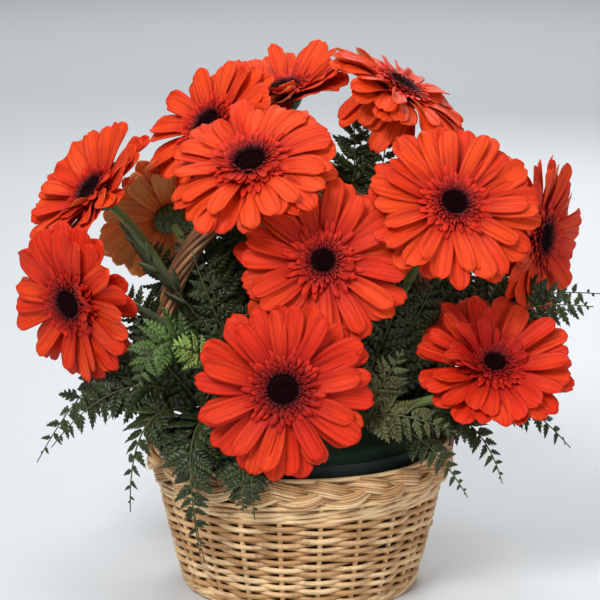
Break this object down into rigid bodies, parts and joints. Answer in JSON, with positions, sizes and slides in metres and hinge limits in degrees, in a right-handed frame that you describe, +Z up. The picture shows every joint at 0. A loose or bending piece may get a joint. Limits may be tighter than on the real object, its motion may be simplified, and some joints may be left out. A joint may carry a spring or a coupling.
{
  "type": "gerbera flower basket",
  "caption": "Round woven willow basket with an arched twisted handle, filled with cut orange-red gerberas and fern in wet foam.",
  "frame": {"origin": "middle of the basket's flat underside, on the surface it stands on", "axes": "+Z up; -Y to the front, from where most heads are seen; +X to the right seen from the front, along the handle's span"},
  "size_m": [0.3853, 0.2507, 0.3395],
  "materials": {
    "willow": "satin",
    "handle_rod": "satin",
    "ray": "satin",
    "eye": "matte",
    "stem": "satin",
    "fern": "satin",
    "liner": "gloss",
    "foam": "matte"
  },
  "bodies": {
    "root": {"basket_body": "willow", "basket_border": "willow", "bloom_01": "ray", "bloom_02": "ray", "bloom_03": "ray", "bloom_04": "ray", "bloom_05": "ray", "bloom_06": "ray", "bloom_07": "ray", "bloom_08": "ray", "bloom_09": "ray", "bloom_10": "ray", "bloom_11": "ray", "bloom_12": "ray", "eye_01": "eye", "eye_02": "eye", "eye_03": "eye", "eye_04": "eye", "eye_05": "eye", "eye_06": "eye", "eye_07": "eye", "eye_08": "eye", "eye_09": "eye", "eye_10": "eye", "eye_11": "eye", "eye_12": "eye", "fern_back_left": "fern", "fern_back_mid": "fern", "fern_back_right": "fern", "fern_bright": "fern", "fern_left_mid": "fern", "fern_left_low": "fern", "fern_mid_left": "fern", "fern_mid_right": "fern", "fern_olive": "fern", "fern_right_high": "fern", "fern_right_low": "fern", "fern_right_tip": "fern", "fern_rim_front": "fern", "fern_rim_left": "fern", "fern_rim_right": "fern", "fern_rim_side": "fern", "fern_sprig": "fern", "fern_top": "fern", "foam": "foam", "handle": "handle_rod", "leaf_spray": "fern", "liner": "liner", "stem_01": "stem", "stem_02": "stem", "stem_03": "stem", "stem_04": "stem", "stem_05": "stem", "stem_06": "stem", "stem_07": "stem", "stem_08": "stem", "stem_09": "stem", "stem_10": "stem", "stem_11": "stem", "stem_12": "stem"}
  },
  "joints": []
}
